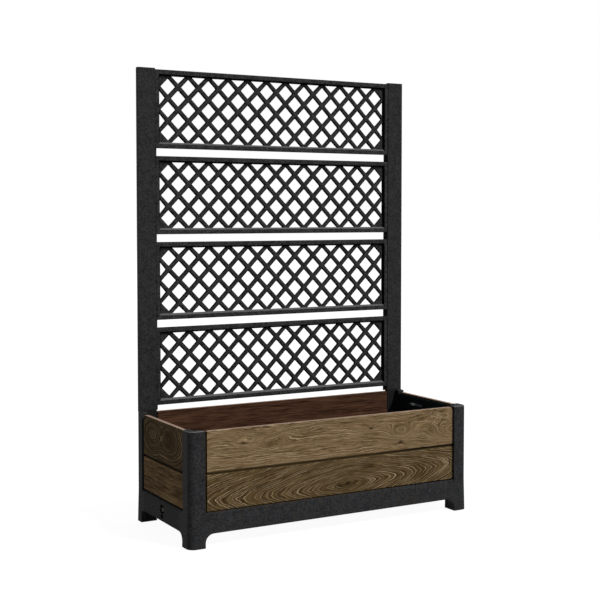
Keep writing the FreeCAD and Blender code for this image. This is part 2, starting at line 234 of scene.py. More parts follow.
# How high the painted shade of the seams reaches on the upper and lower boards, how it fades above and
# below that height, and where along the wall it turns from brown to dark
JOINT_SEAM = 3.6 * MM
SKIRT_SEAM = 4 * MM
SEAM_FADE = (0.5 * MM, 1.5 * MM)
SEAM_TURN_EDGE = (0.1, 0.4)
SEAM_BROWN = (0.042, 0.028, 0.012)
SEAM_DARK = (0.006, 0.0045, 0.003)

# A painted highlight on the top edge of the upper boards, and the band along the joint on the lower ones,
# which on the front, right and rear rows is painted paler against the shade in the groove
TOP_HIGHLIGHT = (0.26, 0.185, 0.145)
TOP_FACING = (0.75, 0.95)
RIDGE_HEIGHT = 10 * MM

# The boards' inner faces. A layer is its rates along and up, detail, roughness and share of the tone
INNER_FACING = (0.4, 0.6)
INNER_LAYERS = ((12.0, 260.0, 3.0, 0.7, 0.8), (4.0, 60.0, 2.0, 0.5, 0.2))
INNER_EDGE = (0.32, 0.68)
INNER_DEEP = (0.018, 0.0072, 0.0036)
INNER_PALE = (0.092, 0.044, 0.026)

# The boards' outer faces, with rates across the lines and along: bands, flecks, streaks and fibres
FACE_LAYERS = ((0.4, 4.0, 2.0, 0.5, 0.10), (0.85, 22.0, 2.0, 0.5, 0.06), (1.6, 13.0, 3.0, 0.7, 0.48),
               (3.0, 30.0, 2.0, 0.7, 0.36))
STREAK_RELIEF = 0.6
FIBRE_RELIEF = 0.4
LINE_RELIEF = -0.3
WOOD_BUMP = 0.5
WOOD_RELIEF = 0.8 * MM
WOOD_ROUGHNESS = 0.6
WOOD_SPECULAR = 0.012
PORE_STRENGTH = 0.7
PORE_SHADE = 0.5
KNOT_EDGE = (0.25, 0.95)
KNOT_STRENGTH = 0.75
KNOT_SHADE = 0.35

# How the lines of the grain wander
PLANE_STRETCH = 4.0
CLOUD_RATE = 7.0
RING_BLEND = 30 * MM
SWAY_RATE = 5.0
SHIVER_RATE = 40.0
SHIVER_SHARE = 0.14
WOBBLE_RATE = 22.0
BURL_STRETCH = 1.5

# The pale lines: uneven spacing, bold ones among them, patches where they fade, and pores beside them
DRIFT_RATE = 0.35
DRIFT_REACH = 2.4
BOLD_RATE = 0.31
BOLD_WIDTH = 0.05
LINE_WANDER = 0.5
PATCH_RATE = 0.6
PATCH_RATE_ALONG = 9.0
PATCH_EDGE = (0.36, 0.60)
PORE_OFFSET = 1.4

# The colours of the rows, on the plainest grain. The left wall has its own
EVEN_GRAIN = dict(power=2.0, bow=(0.0, 0.0), wobble=0.0, clouds=0.08, spread=0.10,
                  bends=(), burls=(), knots=(), cores=())
UPPER_ROW = dict(EVEN_GRAIN, deep=(0.058, 0.034, 0.0135), pale=(0.200, 0.134, 0.071),
                 line=(0.38, 0.29, 0.175), seam=SEAM_BROWN, seam_height=JOINT_SEAM)
LOWER_ROW = dict(EVEN_GRAIN, deep=(0.027, 0.016, 0.0053), pale=(0.101, 0.064, 0.028),
                 line=(0.36, 0.28, 0.175), ridge=(0.078, 0.054, 0.024),
                 seam=SEAM_BROWN, seam_height=SKIRT_SEAM)
LEFT_UPPER_ROW = dict(EVEN_GRAIN, deep=(0.0155, 0.0095, 0.004), pale=(0.073, 0.046, 0.020),
                      line=(0.24, 0.17, 0.095), seam=SEAM_DARK, seam_height=JOINT_SEAM)
LEFT_LOWER_ROW = dict(EVEN_GRAIN, deep=(0.035, 0.0205, 0.0073), pale=(0.168, 0.107, 0.050),
                      line=(0.30, 0.22, 0.13), ridge=SEAM_DARK, seam=SEAM_DARK, seam_height=7 * MM)

# The grain of each board. Places and reaches are along the wall and up.
# spacing: from line to line; sway, wobble: how far the lines wander, broadly and closely
# clouds: broad changes of the tone; spread: half the range of the tone from deep to pale
# lines, bold: strength of the fine and bold pale lines; width: of a fine line, as a share of the spacing
# rings: place along and up of their centre, and stretch; power: under 2 makes pointed arches of them
# bow: from where along, and how much, the rings' axis bends up; bends: place, reach and lift
# burls: place, reach, height and rate of curls, and how far they flatten the even grain under them
# knots: place and reach of dark spots; cores: place and reach of spots without lines
LOOKS = {
    "front_upper": dict(
        UPPER_ROW, seed=1.3, sway=30 * MM, spacing=6.2 * MM, lines=0.8, bold=0.4, width=0.16, spread=0.14,
        seam_height=6.2 * MM, rings=[(-0.1, -0.35, 9.0)],
        bends=[((0.267, 0.307), (0.055, 0.024), 0.05), ((0.51, 0.292), (0.075, 0.034), 0.08),
               ((0.264, 0.272), (0.02, 0.010), -0.012), ((0.14, 0.332), (0.025, 0.010), 0.012),
               ((-0.354, 0.327), (0.05, 0.012), 0.014), ((-0.221, 0.335), (0.05, 0.012), -0.014)],
        burls=[((0.45, 0.335), (0.10, 0.06), 0.032, 36.0, 0.8),
               ((-0.28, 0.352), (0.11, 0.03), 0.04, 24.0, 0.0)],
        knots=[((0.264, 0.272), (0.013, 0.009)), ((0.14, 0.332), (0.011, 0.005)),
               ((-0.354, 0.327), (0.018, 0.005))]),
    "front_lower": dict(
        LOWER_ROW, seed=4.1, sway=18 * MM, spacing=4.9 * MM, lines=0.95, bold=0.45, width=0.12, power=1.4,
        rings=[(0.04, 0.142, 4.2)], bow=(-0.15, 0.09),
        knots=[((0.010, 0.147), (0.013, 0.006)), ((0.045, 0.150), (0.014, 0.007)),
               ((0.078, 0.153), (0.013, 0.006))]),
    "left_upper": dict(
        LEFT_UPPER_ROW, seed=7.7, sway=24 * MM, spacing=7.6 * MM, lines=0.85, bold=0.4, width=0.18,
        wobble=14 * MM, rings=[(-0.045, 0.326, 1.6), (0.091, 0.322, 1.6)],
        burls=[((0.1, 0.31), (0.06, 0.04), 0.02, 24.0, 0.0)],
        cores=[((-0.045, 0.326), (0.036, 0.024))]),
    "left_lower": dict(
        LEFT_LOWER_ROW, seed=9.2, sway=30 * MM, spacing=8 * MM, lines=0.4, bold=0.3, width=0.2, clouds=0.45,
        spread=0.13, rings=[(0.1, -0.3, 7.0)],
        knots=[((0.037, 0.199), (0.045, 0.004)), ((0.126, 0.168), (0.05, 0.004)),
               ((-0.013, 0.162), (0.05, 0.003))]),
    "right_upper": dict(
        UPPER_ROW, seed=12.9, sway=30 * MM, spacing=6.2 * MM, lines=0.75, bold=0.4, width=0.17, spread=0.14,
        rings=[(0.0, -0.3, 7.0)],
        bends=[((0.05, 0.31), (0.05, 0.02), 0.04)]),
    "right_lower": dict(
        LOWER_ROW, seed=15.4, sway=20 * MM, spacing=6.6 * MM, lines=0.8, bold=0.5, width=0.14,
        rings=[(-0.05, 0.17, 3.2)]),
    "rear_upper": dict(
        UPPER_ROW, seed=18.6, sway=30 * MM, spacing=6.2 * MM, lines=0.75, bold=0.4, width=0.17, spread=0.14,
        rings=[(0.2, -0.3, 9.0)],
        bends=[((-0.2, 0.31), (0.06, 0.02), 0.04)]),
    "rear_lower": dict(
        LOWER_ROW, seed=21.8, sway=20 * MM, spacing=6.6 * MM, lines=0.8, bold=0.5, width=0.14,
        rings=[(-0.1, 0.165, 4.0)]),
}

# Places of the colour sockets on a mix node
MIX_COLOURS = (6, 7)
MIX_RESULT = 2


class Graph:
    """A short way to wire a node tree."""

    def __init__(self, tree):
        self.tree = tree

    def add(self, kind, **settings):
        node = self.tree.nodes.new(kind)
        for key, value in settings.items():
            setattr(node, key, value)
        return node

    def put(self, socket, value):
        """Links a socket to another one, or sets its number or colour."""
        if isinstance(value, bpy.types.NodeSocket):
            self.tree.links.new(value, socket)
        else:
            socket.default_value = value

    def fill(self, node, *values):
        """Puts values into a node's first sockets, and gives its first output."""
        for socket, value in zip(node.inputs, values):
            self.put(socket, value)
        return node.outputs[0]

    def math(self, operation, *values):
        return self.fill(self.add("ShaderNodeMath", operation=operation), *values)

    def plus(self, a, b):
        return self.math("ADD", a, b)

    def minus(self, a, b):
        return self.math("SUBTRACT", a, b)

    def times(self, a, b):
        return self.math("MULTIPLY", a, b)

    def square(self, a):
        return self.math("MULTIPLY", a, a)

    def weigh(self, *pairs):
        """The sum of fields, each times its share."""
        total = 0.0
        for field, share in pairs:
            total = self.plus(total, self.times(field, share))
        return total

    def split(self, vector):
        node = self.add("ShaderNodeSeparateXYZ")
        self.put(node.inputs[0], vector)
        return dict(zip("XYZ", node.outputs))

    def join(self, x, y, z):
        return self.fill(self.add("ShaderNodeCombineXYZ"), x, y, z)

    def noise(self, vector, scale, detail=2.0, roughness=0.5):
        node = self.add("ShaderNodeTexNoise")
        self.put(node.inputs["Vector"], vector)
        node.inputs["Scale"].default_value = scale
        node.inputs["Detail"].default_value = detail
        node.inputs["Roughness"].default_value = roughness
        return node.outputs[0]

    def centred(self, vector, scale, reach):
        """Noise between about -reach/2 and reach/2."""
        return self.times(self.minus(self.noise(vector, scale), 0.5), reach)

    def ramp(self, factor, low, high):
        """0 at low, 1 at high, smooth between. Low may be the greater of the two."""
        node = self.add("ShaderNodeMapRange", interpolation_type="SMOOTHSTEP")
        return self.fill(node, factor, min(low, high), max(low, high), float(low > high), float(low < high))

    def off(self, field, middle):
        """How far a field is from a middle value."""
        return self.math("ABSOLUTE", self.minus(field, middle))

    def off_half(self, field):
        """How far a field is from the middle between two whole numbers."""
        return self.off(self.math("FRACT", field), 0.5)

    def hill(self, run, up, at, reach):
        """A round hill of height 1 on an upright face."""
        across = self.square(self.math("DIVIDE", self.minus(run, at[0]), reach[0]))
        rise = self.square(self.math("DIVIDE", self.minus(up, at[1]), reach[1]))
        return self.math("EXPONENT", self.times(self.plus(across, rise), -1.0))

    def spot(self, run, up, at, reach):
        """A round spot: 1 inside it, 0 outside."""
        return self.ramp(self.hill(run, up, at, reach), *SPOT_EDGE)

    def mix(self, factor, a, b):
        """Colour a where the factor is 0, colour b where it is 1."""
        node = self.add("ShaderNodeMix", data_type="RGBA")
        self.put(node.inputs[0], factor)
        for place, colour in zip(MIX_COLOURS, (a, b)):
            linked = isinstance(colour, bpy.types.NodeSocket)
            self.put(node.inputs[place], colour if linked else (*colour, 1))
        return node.outputs[MIX_RESULT]

    def matt(self, grey):
        """A matt grey shader."""
        node = self.add("ShaderNodeBsdfDiffuse")
        node.inputs["Color"].default_value = (grey, grey, grey, 1)
        return node.outputs[0]

    def pick(self, factor, a, b):
        """Shader a where the factor is 0, shader b where it is 1."""
        return self.fill(self.add("ShaderNodeMixShader"), factor, a, b)


class Material(Graph):
    """The node tree of a new material."""

    def __init__(self, name):
        self.material = bpy.data.materials.new(name)
        self.material.use_nodes = True
        super().__init__(self.material.node_tree)
        self.shader = self.tree.nodes["Principled BSDF"]
        self.at = self.add("ShaderNodeTexCoord").outputs["Object"]
        self.normal = self.add("ShaderNodeNewGeometry").outputs["Normal"]

    def bump(self, height, strength, distance):
        node = self.add("ShaderNodeBump")
        node.inputs["Strength"].default_value = strength
        node.inputs["Distance"].default_value = distance
        self.put(node.inputs["Height"], height)
        self.put(self.shader.inputs["Normal"], node.outputs[0])

    def surface(self, colour, roughness, dullness, specular, metallic=0.0):
        """Sets the shader. The roughness is the least one, to which the field of dullness adds."""
        self.put(self.shader.inputs["Base Color"], colour)
        dull = self.plus(self.times(dullness, ROUGHNESS_SWING), roughness)
        self.put(self.shader.inputs["Roughness"], dull)
        self.shader.inputs["Specular IOR Level"].default_value = specular
        self.put(self.shader.inputs["Metallic"], metallic)
        return self.material


def shade(colour, share):
    """A darker or paler colour."""
    return [min(1.0, c * share) for c in colour]


def middle_of(node):
    """The middle of a node's box."""
    low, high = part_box(node)
    return (low + high) / 2


def hammered(name, look, paint):
    """Hammered moulded plastic, bluer and browner in places by its tint, under painted shade and
    highlights.
    """
    g = Material(name)
    dark, light, tint = look["dark"], look["light"], look["tint"]
    dimples = g.noise(g.at, *DIMPLE_NOISE)
    clouds = g.noise(g.at, *CLOUD_NOISE)
    skin = g.noise(g.at, *SKIN_NOISE)
    tone = g.ramp(g.weigh((dimples, DIMPLE_SHARE), (clouds, 1 - DIMPLE_SHARE)), *HAMMER_EDGE)
    cool = [light[0] * (1 - tint), light[1] * (1 - COOL_GREEN * tint), light[2] * (1 + tint)]
    warm = [light[0] * (1 + tint), light[1], light[2] * (1 - tint)]
    hue = g.ramp(g.noise(g.at, *HUE_NOISE), *HUE_EDGE)
    colour = g.mix(hue, g.mix(tone, dark, cool), g.mix(tone, dark, warm))
    g.bump(g.plus(dimples, g.times(skin, SKIN_SHARE)), HAMMER_BUMP, look["relief"])
    return g.surface(paint(g, colour, dark), HAMMER_ROUGHNESS, clouds, look["sheen"])


def painted_hollow_shade(g, colour, dark):
    """Painted shade: dark where a post lines the planting box."""
    place = g.split(g.at)
    inside = 1.0
    for axis, low, high in zip("XYZ", HOLLOW_LOW, HOLLOW_HIGH):
        inside = g.times(inside, g.ramp(place[axis], low - LINING, low - LINING + BLEND))
        inside = g.times(inside, g.ramp(place[axis], high + LINING, high + LINING - BLEND))
    return g.mix(inside, colour, dark)


def rim_highlight_and_hollow_shade(g, colour, dark):
    """Painted highlights on the arrises round the tops of the front posts, and painted shade on posts
    inside the box.
    """
    colour = painted_hollow_shade(g, colour, dark)
    place = g.split(g.at)
    rise = g.split(g.normal)["Z"]
    rim = g.times(g.ramp(rise, *RIM_LOW_FACING), g.ramp(rise, *RIM_HIGH_FACING))
    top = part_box("corner_post_front_left")[1].z
    rim = g.times(rim, g.ramp(place["Z"], top - RIM_DEPTH[0], top - RIM_DEPTH[1]))
    rim = g.times(rim, g.ramp(place["Y"], *RIM_FRONT_EDGE))
    return g.mix(rim, colour, RIM_HIGHLIGHT)


def drain_shade_and_highlight(g, colour, dark):
    """Painted shade, black inside the drain's pocket and well and in spots round them, and a painted
    highlight between.
    """
    place = g.split(g.at)
    plug = middle_of("drain_plug")
    run = g.minus(place["Y"], plug.y)
    up = g.minus(place["Z"], plug.z)
    black = shade(dark, DRAIN_SHADE)
    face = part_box("skirt_left")[0].x
    deep = g.ramp(place["X"], face + DRAIN_DEPTH[0], face + DRAIN_DEPTH[1])
    outer = g.minus(1.0, deep)
    for at, reach in DRAIN_SHADE_SPOTS:
        colour = g.mix(g.times(g.spot(run, up, at, reach), outer), colour, black)
    colour = g.mix(g.times(g.spot(run, up, *DRAIN_HIGHLIGHT), outer), colour, RIM_HIGHLIGHT)
    for field, (middle, half) in zip((run, up), DRAIN_HOLLOW):
        deep = g.times(deep, g.ramp(g.off(field, middle), half + BLEND, half))
    return g.mix(deep, colour, black)


def strip_shade_and_ledge_highlight(g, colour, dark):
    """Painted shade on strips' and rails' sides, but not where they face up, and a painted highlight along
    each bottom rail's top.
    """
    facing = g.split(g.normal)
    side = g.ramp(g.math("ABSOLUTE", facing["Y"]), *SIDE_FACING)
    side = g.times(side, g.ramp(facing["Z"], *SIDE_RISE_FACING))
    colour = g.mix(side, colour, shade(dark, SIDE_SHADE))
    lowest, above = [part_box(LATTICES[i])[0].z for i in (-1, -2)]
    pitch = above - lowest
    steps = g.math("DIVIDE", g.minus(g.split(g.at)["Z"], lowest + PANEL_RAIL), pitch)
    far, near = [reach / pitch for reach in LEDGE_REACH]
    ledge = g.ramp(g.off_half(g.plus(steps, 0.5)), far, near)
    return g.mix(g.times(ledge, g.ramp(facing["Z"], *LEDGE_FACING)), colour, LEDGE_HIGHLIGHT)


def glinting_catch(name):
    """A dull bar with a painted highlight along its middle line, brightest along part of its length, where
    upward faces are metal.
    """
    g = Material(name)
    grain = g.noise(g.at, *CATCH_NOISE)
    place = g.split(g.at)
    low, high = [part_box("end_panel_catches")[0].y + end for end in CATCH_SHINE]
    glint = g.times(g.ramp(place["Y"], low, low + CATCH_FADE), g.ramp(place["Y"], high, high - CATCH_FADE))
    line = g.ramp(g.off(place["Z"], middle_of("end_panel_catches").z), *CATCH_LINE)
    dull, pale = CATCH_TONES
    colour = g.mix(line, dull, g.mix(glint, pale, CATCH_HIGHLIGHT))
    metal_face = g.times(glint, g.ramp(g.split(g.normal)["Z"], *CATCH_FACING))
    colour = g.mix(metal_face, colour, CATCH_HIGHLIGHT)
    g.bump(grain, CATCH_BUMP, CATCH_RELIEF)
    return g.surface(colour, CATCH_ROUGHNESS, grain, CATCH_SPECULAR, metal_face)


def plain(name, colour, roughness, specular, metallic):
    """A plain moulded, cast or turned surface, with a fine grain and a little tone."""
    g = Material(name)
    grain = g.noise(g.at, *PLAIN_NOISE)
    deep, pale = [shade(colour, share) for share in PLAIN_SHADES]
    mixed = g.mix(g.noise(g.at, *PLAIN_TONE_NOISE), deep, pale)
    g.bump(grain, PLAIN_BUMP, PLAIN_RELIEF)
    return g.surface(mixed, roughness, grain, specular, metallic)


def grain_field(g, run, up, plane, look):
    """A height field over a board's face. Its level lines are the lines of the grain."""
    bow_at, bow = look["bow"]
    rise = g.times(g.square(g.minus(run, bow_at)), bow)
    power = look["power"]
    field = None
    for at, level, stretch in look["rings"]:
        across = g.math("ABSOLUTE", g.math("DIVIDE", g.minus(run, at), stretch))
        over = g.off(g.minus(up, level), rise)
        total = g.plus(g.math("POWER", across, power), g.math("POWER", over, power))
        ring = g.math("POWER", total, 1 / power)
        field = ring if field is None else g.math("SMOOTH_MIN", field, ring, RING_BLEND)
    field = g.plus(field, g.centred(plane, SWAY_RATE, look["sway"]))
    field = g.plus(field, g.centred(plane, SHIVER_RATE, look["sway"] * SHIVER_SHARE))
    field = g.plus(field, g.centred(g.join(run, up, look["seed"]), WOBBLE_RATE, look["wobble"]))
    for at, reach, lift in look["bends"]:
        field = g.plus(field, g.times(g.hill(run, up, at, reach), lift))
    for at, reach, height, rate, flatten in look["burls"]:
        curls = g.centred(g.join(run, g.times(up, BURL_STRETCH), look["seed"]), rate, height)
        curls = g.plus(curls, g.times(g.minus(at[1], up), flatten))
        field = g.plus(field, g.times(g.hill(run, up, at, reach), curls))
    return field


def grain_layers(g, first, second, seed, layers):
    """Noises drawn out along a board, and the tone that they add up to by their shares."""
    fields = []
    for rate, other_rate, detail, roughness, _ in layers:
        place = g.join(g.times(first, rate), g.times(second, other_rate), seed)
        fields.append(g.noise(place, 1.0, detail, roughness))
    return fields, g.weigh(*[(field, layer[-1]) for field, layer in zip(fields, layers)])


def limed_lines(g, turns, run, up, streaks, look):
    """Pale lines of liming along the grain, unevenly spaced, some of them bold, and pores beside them."""
    seed = look["seed"]
    drift = g.centred(g.join(g.times(turns, DRIFT_RATE), 0.0, seed), 1.0, DRIFT_REACH)
    turns = g.plus(turns, drift)
    pale = pores = 0.0
    kinds = ((1.0, look["width"], look["lines"]), (BOLD_RATE, BOLD_WIDTH, look["bold"]))
    for rate, width, strength in kinds:
        wander = g.plus(g.times(turns, rate), g.times(g.minus(streaks, 0.5), LINE_WANDER))
        patch_place = g.join(g.times(turns, PATCH_RATE * rate), g.times(run, PATCH_RATE_ALONG), seed)
        share = g.times(g.ramp(g.noise(patch_place, 1.0), *PATCH_EDGE), strength)
        line = g.ramp(g.off_half(wander), width, 0.0)
        pore = g.ramp(g.off_half(g.plus(wander, width * PORE_OFFSET)), width, 0.0)
        pale = g.math("MAXIMUM", pale, g.times(line, share))
        pores = g.math("MAXIMUM", pores, g.times(pore, share))
    for at, reach in look["cores"]:
        lined = g.minus(1.0, g.spot(run, up, at, reach))
        pale = g.times(pale, lined)
        pores = g.times(pores, lined)
    return pale, pores


def outer_colour(g, run, up, tone, pale, pores, look):
    """The colour of a board's outer face, from its tone, its pores, its pale lines and its knots."""
    deep = look["deep"]
    colour = g.mix(g.ramp(tone, 0.5 - look["spread"], 0.5 + look["spread"]), deep, look["pale"])
    colour = g.mix(g.times(pores, PORE_STRENGTH), colour, shade(deep, PORE_SHADE))
    colour = g.mix(pale, colour, look["line"])
    for at, reach in look["knots"]:
        knot = g.ramp(g.hill(run, up, at, reach), *KNOT_EDGE)
        colour = g.mix(g.times(knot, KNOT_STRENGTH), colour, shade(deep, KNOT_SHADE))
    return colour


def inner_colour(g, run, up, seed):
    """The plain reddish brown of a board's inner face, with a fine level grain."""
    _, tone = grain_layers(g, run, up, seed, INNER_LAYERS)
    return g.mix(g.ramp(tone, *INNER_EDGE), INNER_DEEP, INNER_PALE)


def edge_colour(g, key, place, inside, colour, look):
    """A painted highlight on an upper board's top edge. On a lower one, the band along the joint and a dark
    inner top.
    """
    wall, row = key.split("_")
    _, inward, sign = WALLS[wall]
    top = g.ramp(g.split(g.normal)["Z"], *TOP_FACING)
    if row == "upper":
        return g.mix(top, colour, TOP_HIGHLIGHT)
    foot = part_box("board_" + key)[1].z - RIDGE_HEIGHT
    ridge = g.ramp(place["Z"], foot - BLEND / 2, foot + BLEND / 2)
    colour = g.mix(g.times(ridge, g.minus(1.0, inside)), colour, look["ridge"])
    middle = middle_of("board_" + key)["XYZ".index(inward)]
    inner_half = g.ramp(g.times(g.minus(place[inward], middle), sign), 0.0, BLEND)
    return g.mix(g.times(top, inner_half), colour, SEAM_DARK)


def painted_seam_shade(g, key, run, up, look):
    """Painted shade: 1 in the seams at a board's ends, along the joint of two rows and above the skirt, 0
    on its face.
    """
    wall, row = key.split("_")
    axis = "XYZ".index(WALLS[wall][0])
    low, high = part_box("board_" + key)
    start = low[axis] + END_GAPS[wall][0]
    end = high[axis] - END_GAPS[wall][1]
    ends = g.math("MAXIMUM", g.ramp(run, start + BLEND, start), g.ramp(run, end - BLEND, end))
    foot = low.z if row == "upper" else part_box("skirt_" + wall)[1].z
    level = foot + look["seam_height"]
    above, below = SEAM_FADE
    return g.math("MAXIMUM", ends, g.ramp(up, level + above, level - below))


def wood(key, look):
    """The limed wood grain of one board."""
    along, inward, sign = WALLS[key.split("_")[0]]
    seed = look["seed"]
    g = Material("grain_" + key)
    place = g.split(g.at)
    run = place[along]
    up = place["Z"]
    plane = g.join(run, g.times(up, PLANE_STRETCH), seed)
    turns = g.math("DIVIDE", grain_field(g, run, up, plane, look), look["spacing"])
    fields, tone = grain_layers(g, turns, run, seed, FACE_LAYERS)
    streaks, fibres = fields[-2:]
    tone = g.plus(tone, g.centred(plane, CLOUD_RATE, look["clouds"]))
    pale, pores = limed_lines(g, turns, run, up, streaks, look)
    colour = outer_colour(g, run, up, tone, pale, pores, look)
    inside = g.ramp(g.times(g.split(g.normal)[inward], sign), *INNER_FACING)
    colour = g.mix(inside, colour, inner_colour(g, run, up, seed))
    colour = edge_colour(g, key, place, inside, colour, look)
    # Painted shade in the seams, turning from the row's seam colour to dark along the wall
    seam_shade_colour = g.mix(g.ramp(run, *SEAM_TURN_EDGE), look["seam"], SEAM_DARK)
    colour = g.mix(painted_seam_shade(g, key, run, up, look), colour, seam_shade_colour)
    relief = g.weigh((streaks, STREAK_RELIEF), (fibres, FIBRE_RELIEF), (pale, LINE_RELIEF))
    g.bump(relief, WOOD_BUMP, WOOD_RELIEF)
    return g.surface(colour, WOOD_ROUGHNESS, streaks, WOOD_SPECULAR)


def new_piece(name, mesh, material, body="planter"):
    """A piece of one material that rides on a body."""
    piece = bpy.data.objects.new(name, mesh)
    bpy.context.scene.collection.objects.link(piece)
    mesh.materials.clear()
    mesh.materials.append(material)
    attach(piece, body)
    return piece


def to_mesh(bm, name, angle):
    """A mesh with smooth faces that keeps its edges sharper than the angle."""
    mesh = bpy.data.meshes.new(name)
    bm.to_mesh(mesh)
    bm.free()
    mesh.polygons.foreach_set("use_smooth", [True] * len(mesh.polygons))
    mesh.set_sharp_from_angle(angle=math.radians(angle))
    return mesh


def dress(node, material, width, body="planter"):
    """A copy of a CAD node with its sharp edges softened, which stands for it."""
    bm = bmesh.new()
    bm.from_mesh(nodes[node].data)
    bmesh.ops.remove_doubles(bm, verts=bm.verts, dist=NODE_WELD)
    bmesh.ops.dissolve_limit(bm, angle_limit=math.radians(FLAT_ANGLE), verts=bm.verts, edges=bm.edges)
    limit = math.radians(SOFT_ANGLE)
    sharp = [e for e in bm.edges if len(e.link_faces) == 2 and e.calc_face_angle() > limit]
    bmesh.ops.bevel(bm, geom=sharp, offset=width, offset_type="OFFSET", segments=2, profile=0.5,
                    affect="EDGES", clamp_overlap=True)
    piece = new_piece(node + "_soft", to_mesh(bm, node + "_soft", SHARP_ANGLE), material, body)
    piece.modifiers.new("even_normals", "WEIGHTED_NORMAL").keep_sharp = True
    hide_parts(node)


def diamond_tips(half):
    """A diamond's corners, from the right one upwards."""
    return [Vector((half[0], 0)), Vector((0, half[1])), Vector((-half[0], 0)), Vector((0, -half[1]))]


def rounded_diamond(half, radius):
    """Points round a diamond with rounded corners, from its right corner upwards."""
    tips = diamond_tips(half)
    points = []
    for i, tip in enumerate(tips):
        before = (tips[i - 1] - tip).normalized()
        after = (tips[(i + 1) % 4] - tip).normalized()
        half_angle = before.angle(after) / 2
        centre = tip + (before + after).normalized() * radius / math.sin(half_angle)
        outward = math.atan2(tip.y, tip.x)
        sweep = math.pi / 2 - half_angle
        for k in range(CORNER_STEPS + 1):
            turn = outward + sweep * (2 * k / CORNER_STEPS - 1)
            points.append(centre + radius * Vector((math.cos(turn), math.sin(turn))))
    return points


def plain_diamond(half):
    """Points round the diamond of a whole cell, as many as rounded_diamond gives."""
    tips = diamond_tips(half)
    points = []
    for i, tip in enumerate(tips):
        for k in range(CORNER_STEPS + 1):
            t = (k - CORNER_STEPS / 2) / (CORNER_STEPS + 1)
            neighbour = tips[(i + 1) % 4] if t > 0 else tips[i - 1]
            points.append(tip.lerp(neighbour, abs(t)))
    return points


def loop_of(bm, points, centre, y, low, high):
    """Vertices for a ring of points round a cell's centre, held inside a rectangle."""
    loop = []
    for p in points:
        x = min(max(centre[0] + p.x, low[0]), high[0])
        z = min(max(centre[1] + p.y, low[1]), high[1])
        loop.append(bm.verts.new((x, y, z)))
    return loop


def lattice_cell(bm, centre, half, share, depths, low, high):
    """One cell of the lattice: the strips' halves round one diamond hole, with softened edges."""
    front_y, back_y = depths
    spread = math.hypot(1 / half[0], 1 / half[1])

    def hole(grow):
        size = share + grow * spread
        return rounded_diamond((half[0] * size, half[1] * size), HOLE_CORNER + grow)

    soft, hard = STRIP_SOFT_FRONT, STRIP_SOFT_BACK
    rows = [(plain_diamond(half), front_y, 2 * SINK)]
    rows += [(hole(out * soft), front_y + back * soft, SINK) for out, back in STRIP_ARRIS]
    rows += [(hole(0), back_y - hard, SINK), (hole(BEND * hard), back_y - BEND * hard, SINK),
             (hole(hard), back_y, SINK), (plain_diamond(half), back_y, 2 * SINK)]
    loops = []
    for points, y, sink in rows:
        near = (low[0] - sink, low[1] - sink)
        far = (high[0] + sink, high[1] + sink)
        loops.append(loop_of(bm, points, centre, y, near, far))
    count = len(loops[0])
    for a, b in zip(loops, loops[1:]):
        for i in range(count):
            j = (i + 1) % count
            bm.faces.new((a[i], b[i], b[j], a[j]))


def lattice_gusset(bm, centre, half, depths, low, high):
    """The filled cell in a panel's corner."""
    low = (low[0] - 2 * SINK, low[1] - 2 * SINK)
    high = (high[0] + 2 * SINK, high[1] + 2 * SINK)
    for y in depths:
        bm.faces.new(loop_of(bm, plain_diamond(half), centre, y, low, high))


def close_sheet(bm, depths):
    """Walls round the sheet's outer edge, where it runs into the frame."""
    front_y, back_y = depths
    behind = [v for v in bm.verts if abs(v.co.y - back_y) < SAME_PLACE]
    finder = KDTree(len(behind))
    for i, vert in enumerate(behind):
        finder.insert(vert.co, i)
    finder.balance()
    for edge in [e for e in bm.edges if e.is_boundary]:
        a, b = edge.verts
        if abs(a.co.y - front_y) < SAME_PLACE:
            c, d = [behind[finder.find((v.co.x, back_y, v.co.z))[1]] for v in (b, a)]
            bm.faces.new((a, b, c, d))


def lattice_sheet(bm, inner_low, inner_high, depths):
    """The sheet of crossing strips, cell by cell, with filled corners."""
    grid_low = (inner_low[0] - GRID_SPREAD, inner_low[1])
    grid_high = (inner_high[0] + GRID_SPREAD, inner_high[1])
    clip_low = (inner_low[0] + SLOPE_FOOT, inner_low[1] + SLOPE_FOOT)
    clip_high = (inner_high[0] - SLOPE_FOOT, inner_high[1] - SLOPE_FOOT)
    half = ((grid_high[0] - grid_low[0]) / CELLS_ACROSS / 2, (grid_high[1] - grid_low[1]) / CELLS_UP / 2)
    share = 1 - STRIP_WIDTH / 2 * math.hypot(1 / half[0], 1 / half[1])
    for i in range(2 * CELLS_ACROSS + 1):
        for j in range(2 * CELLS_UP + 1):
            centre = (grid_low[0] + i * half[0], grid_low[1] + j * half[1])
            in_corner = i in (0, 2 * CELLS_ACROSS) and j in (0, 2 * CELLS_UP)
            if in_corner:
                lattice_gusset(bm, centre, half, depths, clip_low, clip_high)
            elif (i + j) % 2 == 0:
                lattice_cell(bm, centre, half, share, depths, clip_low, clip_high)
    bmesh.ops.remove_doubles(bm, verts=bm.verts, dist=SHEET_WELD)
    bmesh.ops.dissolve_degenerate(bm, edges=bm.edges, dist=SAME_PLACE)
    close_sheet(bm, depths)


